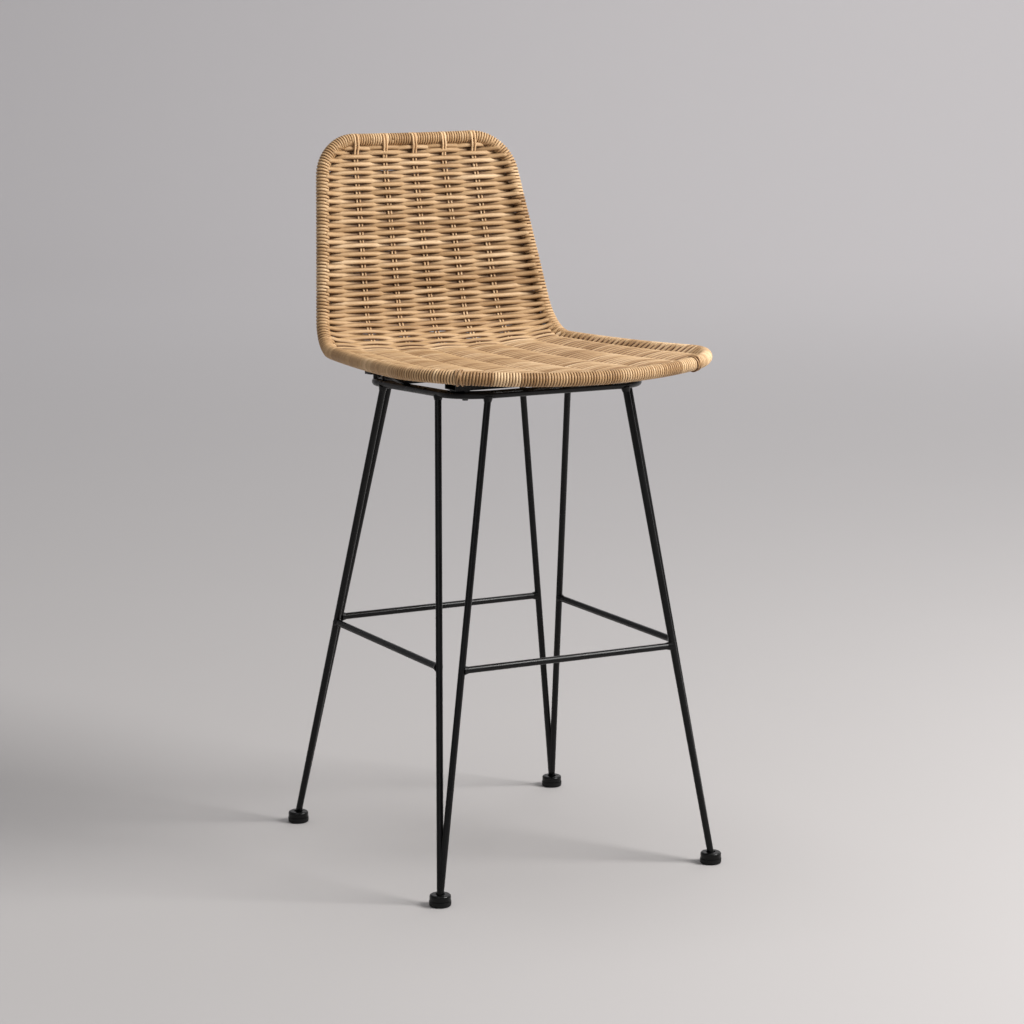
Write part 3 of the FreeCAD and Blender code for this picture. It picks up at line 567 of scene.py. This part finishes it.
def stake(column, side):
    """A stake strand: tucked in behind the top rim, over it, down the back and out over the seat."""
    loop = WRAP_RADIUS - STAKE_RADIUS * 0.2
    sunk = WRAP_RADIUS - STAKE_RADIUS * 0.9
    turn = np.radians([-70, -35, 0, 30, 55, 75, 100])
    reach = [sunk, sunk, sunk, sunk, loop, loop, loop]
    over_rim = [(-r * math.cos(a), r * math.sin(a)) for a, r in zip(turn, reach)]
    start = [(0.024, -0.0060), (0.011, -0.0105)]
    down_lift = start + over_rim + [(0.0125, 0.0088), (0.022, 0.0035), (0.034, 0.0004)]
    flat = [(d, 0.0) for d in np.arange(0.05, RIM[-1, 1], 0.03)]
    path = smooth_path(down_lift + flat, STAKE_STEP)
    down, lift = path[:, 0], path[:, 1]
    x = column * column_pitch(np.maximum(down, 0)) + side * STAKE_PAIR
    x = x + STAKE_SWAY * np.sin(down * SWAY_RATE + rng.uniform(0, 6))
    keep = down < front_distance(x) - STAKE_END
    points = shell(x, down, lift)[keep]
    facing = shell_normal(x, np.maximum(down, 0.0))[keep]
    return strand(points, facing, STAKE_RADIUS, STAKE_RADIUS, strand_tone())


def seat_stake(column, side):
    """An extra strand of the wide seat, from inside the bend to the front rim."""
    down = np.arange(CREASE_START, RIM[-1, 1], STAKE_STEP)
    x = column * column_pitch(down) + side * STAKE_PAIR + STAKE_SWAY * np.sin(down * SWAY_RATE)
    keep = down < front_distance(x) - STAKE_END
    points = shell(x, down)[keep]
    return strand(points, shell_normal(x, down)[keep], STAKE_RADIUS, STAKE_RADIUS, strand_tone())


def stakes():
    """Five pairs from the top rim to the front, and one more each side of the wide seat."""
    names = ["outer_left", "inner_left", "middle", "inner_right", "outer_right"]
    pairs = {name: [stake(index - 2, side) for side in (-1, 1)] for index, name in enumerate(names)}
    for name, column in (("seat_left", -3), ("seat_right", 3)):
        pairs[name] = [seat_stake(column, side) for side in (-1, 1)]
    for name, pair in pairs.items():
        piece = strand_piece("stakes_" + name, pair, 8, STAKE)
        show(piece, "stake_pair_" + name)


# ---------------------------------------------------------------- wrapped rim

WRAP_PITCH = 0.0042
SIDE_WRAP_PITCH = 0.0052
WRAP_THICK = 0.0019
WRAP_SAMPLES = 14
WRAP_RUN = 9 * WRAP_SAMPLES
RIM_STEP = 0.0005
LEFT_KNOT, RIGHT_KNOT = -0.1967, 0.1757


def rim_line(step):
    """The whole rim as (x, down), evenly sampled, and the distance along it of each sample."""
    right = RIM[:-1]
    left = RIM[::-1][:-1] * np.array([-1, 1])
    flat = np.concatenate([right, left, RIM[:1]])
    points = shell(flat[:, 0], flat[:, 1])
    length = np.concatenate([[0], np.cumsum(np.linalg.norm(np.diff(points, axis=0), axis=1))])
    even = np.arange(0, length[-1], step)
    return np.stack([np.interp(even, length, flat[:, k]) for k in range(2)], -1), even


def wrap_pitch(flat):
    """Tighter turns on the top and front edges than on the sides, where the weavers end."""
    top = np.clip((0.06 - flat[:, 1]) / 0.03, 0, 1)
    front = np.clip((flat[:, 1] - SHELL_LENGTH + 0.06) / 0.03, 0, 1)
    share = np.clip(top + front, 0, 1)
    return SIDE_WRAP_PITCH + (WRAP_PITCH - SIDE_WRAP_PITCH) * share


def run_bounds(start, end):
    """Splits a long wrapping into runs so that its tone can drift along the rim."""
    marks = list(range(start, end, WRAP_RUN)) + [end]
    return list(zip(marks, marks[1:]))


def knot_bands(centre, across, normal, along):
    """Three crossing strands round the rim that hold the ends of two wrappings."""
    angle = np.linspace(0, 2 * math.pi, 26)
    around = across * np.cos(angle)[:, None] + normal * np.sin(angle)[:, None]
    bands = []
    for shift, tilt, rise in ((-0.0030, 0.5, 0.0), (0.0004, -0.6, 0.0006), (0.0032, 0.4, 0.0001)):
        lean = along * (shift + 0.004 * tilt * np.sin(angle))[:, None]
        ring = centre + around * (WRAP_RADIUS + rise) + lean
        bands.append(strand(ring, around, 0.0016, 0.0014, 0.4 * strand_tone()))
    return bands


def wraps():
    """Strands wound round the whole rim, in two wrappings that meet at the knots."""
    fine, even = rim_line(RIM_STEP)
    pitch = wrap_pitch(fine)
    turns = np.cumsum(RIM_STEP / pitch)
    steps = np.arange(0, turns[-1], 1 / WRAP_SAMPLES)
    place = np.interp(steps, turns, even)
    flat = np.stack([np.interp(place, even, fine[:, k]) for k in range(2)], -1)
    centre = shell(flat[:, 0], flat[:, 1])
    along = unit(np.gradient(centre, axis=0))
    side = unit(np.cross(along, shell_normal(flat[:, 0], flat[:, 1])))
    normal = np.cross(side, along)
    angle = steps * 2 * math.pi
    out = side * np.cos(angle)[:, None] + normal * np.sin(angle)[:, None]
    points = centre + out * (WRAP_RADIUS - WRAP_THICK)
    uneven = 1 + 0.05 * np.sin(steps * 0.9) + 0.04 * np.sin(steps * 2.3)
    wide = np.interp(place, even, pitch) * 0.50 * uneven
    on_front = np.where(flat[:, 1] > SHELL_LENGTH - FRONT_CORNER_RADIUS)[0]
    first, second = (on_front[np.argmin(np.abs(flat[on_front, 0] - x) - flat[on_front, 1])]
                     for x in (RIGHT_KNOT, LEFT_KNOT))
    back_runs = run_bounds(0, first) + run_bounds(second, len(points) - 1)
    wrappings = {}
    for part, runs in (("front", run_bounds(first, second)), ("back", back_runs)):
        wrappings[part] = [strand(points[a:b + 1], out[a:b + 1], wide[a:b + 1], WRAP_THICK, strand_tone())
                           for a, b in runs]
    for part, strands in wrappings.items():
        show(strand_piece("wrap_" + part, strands, 6, PEEL), part + "_wrap")
    bands = []
    for spot in (first, second):
        bands += knot_bands(centre[spot], side[spot], normal[spot], along[spot])
    show(strand_piece("wrap_ends", bands, 8, PEEL), "wrap_knots")


# ---------------------------------------------------------------- frame materials

def paint_frame():
    """Gives every CAD piece that is shown its finished material."""
    for name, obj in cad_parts.items():
        if name.startswith("foot_glide"):
            material = PLASTIC
        elif name == "seat_screws":
            material = SCREW
        elif name == "rim_pole":
            material = STAKE
        else:
            material = BLACK
        obj.data.materials.clear()
        obj.data.materials.append(material)


# ---------------------------------------------------------------- stage, lights and camera

FLOOR_RADIUS, WALL_BEND, FLOOR_TURNS = 9.0, 5.0, 96
# Distances from the stool over which the floor's painted shade fades out.
PAPER_NEAR, PAPER_FAR = -1.0, 8.0


def floor_mesh():
    """A flat round floor that curves up far away on every side."""
    arc = [(FLOOR_RADIUS + WALL_BEND * math.sin(a), WALL_BEND - WALL_BEND * math.cos(a))
           for a in np.linspace(0, math.pi / 2, 24)]
    outline = [(r, 0.0) for r in (1.0, 3.0, 6.0)] + arc
    verts = [(0.0, 0.0, 0.0)]
    for k in range(FLOOR_TURNS):
        a = 2 * math.pi * k / FLOOR_TURNS
        verts += [(r * math.cos(a), r * math.sin(a), z) for r, z in outline]
    n = len(outline)
    faces = []
    for k in range(FLOOR_TURNS):
        this, following = 1 + k * n, 1 + (k + 1) % FLOOR_TURNS * n
        faces.append((0, this, following))
        faces += [(this + j, this + j + 1, following + j + 1, following + j) for j in range(n - 1)]
    mesh = bpy.data.meshes.new("studio_floor")
    mesh.from_pydata(verts, [], faces)
    for face in mesh.polygons:
        face.use_smooth = True
    return mesh


def studio_paper():
    """Matt paper, a little darker round the stool than further out: painted shade on the floor round the
    stool.
    """
    material, nodes, links, shader = new_material("studio_paper")
    place = nodes.new("ShaderNodeTexCoord").outputs["Object"]
    away = nodes.new("ShaderNodeVectorMath")
    away.operation = "LENGTH"
    links.new(place, away.inputs[0])
    cloud = noise(nodes, links, place, 3.0, 2.0, 0.4)
    # Painted shade: the paper's colour darkens towards the stool, between PAPER_NEAR and PAPER_FAR from it.
    painted_falloff = map_range(nodes, links, away.outputs["Value"], (PAPER_NEAR, PAPER_FAR), (0.0, 1.0))
    painted_falloff.interpolation_type = "SMOOTHSTEP"
    shade = math_node(nodes, links, "ADD", painted_falloff.outputs[0], math_node(nodes, links, "MULTIPLY", cloud, 0.02))
    stops = [(0.0, linear(175, 172, 171)), (0.5, linear(200, 197, 197)), (1.0, linear(218, 215, 216))]
    links.new(ramp(nodes, links, shade, stops), shader.inputs["Base Color"])
    shader.inputs["Roughness"].default_value = 0.9
    shader.inputs["Specular IOR Level"].default_value = 0.1
    return material


def studio():
    mesh = floor_mesh()
    mesh.materials.append(studio_paper())
    obj = bpy.data.objects.new("studio_floor", mesh)
    bpy.context.scene.collection.objects.link(obj)


def softbox(name, place, target, side, power, colour):
    """A square area light at a place, turned towards a target."""
    light = bpy.data.lights.new(name, "AREA")
    light.shape = "SQUARE"
    light.size = side
    light.energy = power
    light.color = colour
    obj = bpy.data.objects.new(name, light)
    obj.location = place
    obj.rotation_mode = "QUATERNION"
    obj.rotation_quaternion = (Vector(target) - Vector(place)).to_track_quat("-Z", "Y")
    bpy.context.scene.collection.objects.link(obj)


SEAT_MIDDLE = (0.0, 0.0, 0.8)
BACKDROP_AWAY, BACKDROP_BESIDE, BACKDROP_UP = 9.5, 4.0, 6.0


def lights():
    """Soft key from the right, weak fill and top, and a wide light on the far floor."""
    world = bpy.data.worlds.new("studio_air")
    world.use_nodes = True
    air = world.node_tree.nodes["Background"]
    air.inputs["Color"].default_value = (0.97, 0.98, 1.0, 1.0)
    air.inputs["Strength"].default_value = 0.33
    bpy.context.scene.world = world
    softbox("key_right", (2.3, -2.3, 3.0), SEAT_MIDDLE, 1.8, 228.0, (1.0, 0.985, 0.97))
    softbox("fill_left", (-3.4, -3.2, 2.0), SEAT_MIDDLE, 2.6, 16.0, (0.96, 0.98, 1.0))
    softbox("top", (0.0, 0.2, 4.2), (0.0, 0.0, 0.6), 2.0, 30.0, (1.0, 0.99, 0.98))
    away = Vector((-math.sin(CAMERA_AZIMUTH), math.cos(CAMERA_AZIMUTH), 0.0))
    beside = Vector((math.cos(CAMERA_AZIMUTH), math.sin(CAMERA_AZIMUTH), 0.0))
    far = away * BACKDROP_AWAY + beside * BACKDROP_BESIDE
    above = far + Vector((0, 0, BACKDROP_UP))
    softbox("backdrop", above, far, 9.0, 278.0, (1.0, 0.98, 0.975))


CAMERA_AZIMUTH = math.radians(-28.0225)
CAMERA_ELEVATION = math.radians(10.1874)
CAMERA_DISTANCE = 4.6333
CAMERA_TARGET = (0.0188, 0.5148)
CAMERA_LENS = 108.02
DEPTH_SHIFT = 0.007


def camera():
    """Camera in front of the stool and towards its left, a little higher than the top of the back."""
    a, e = CAMERA_AZIMUTH, CAMERA_ELEVATION
    back = Vector((math.sin(a) * math.cos(e), -math.cos(a) * math.cos(e), math.sin(e)))
    sideways, height = CAMERA_TARGET
    target = Vector((sideways * math.cos(a), sideways * math.sin(a) + DEPTH_SHIFT, height))
    data = bpy.data.cameras.new("camera")
    data.lens = CAMERA_LENS
    data.sensor_width = 36.0
    data.clip_end = 200.0
    obj = bpy.data.objects.new("camera", data)
    obj.location = target + back * CAMERA_DISTANCE
    obj.rotation_mode = "QUATERNION"
    obj.rotation_quaternion = (-back).to_track_quat("-Z", "Y")
    bpy.context.scene.collection.objects.link(obj)
    bpy.context.scene.camera = obj


weave()
stakes()
wraps()
paint_frame()
studio()
lights()
camera()
bpy.context.scene.view_settings.view_transform = "Standard"
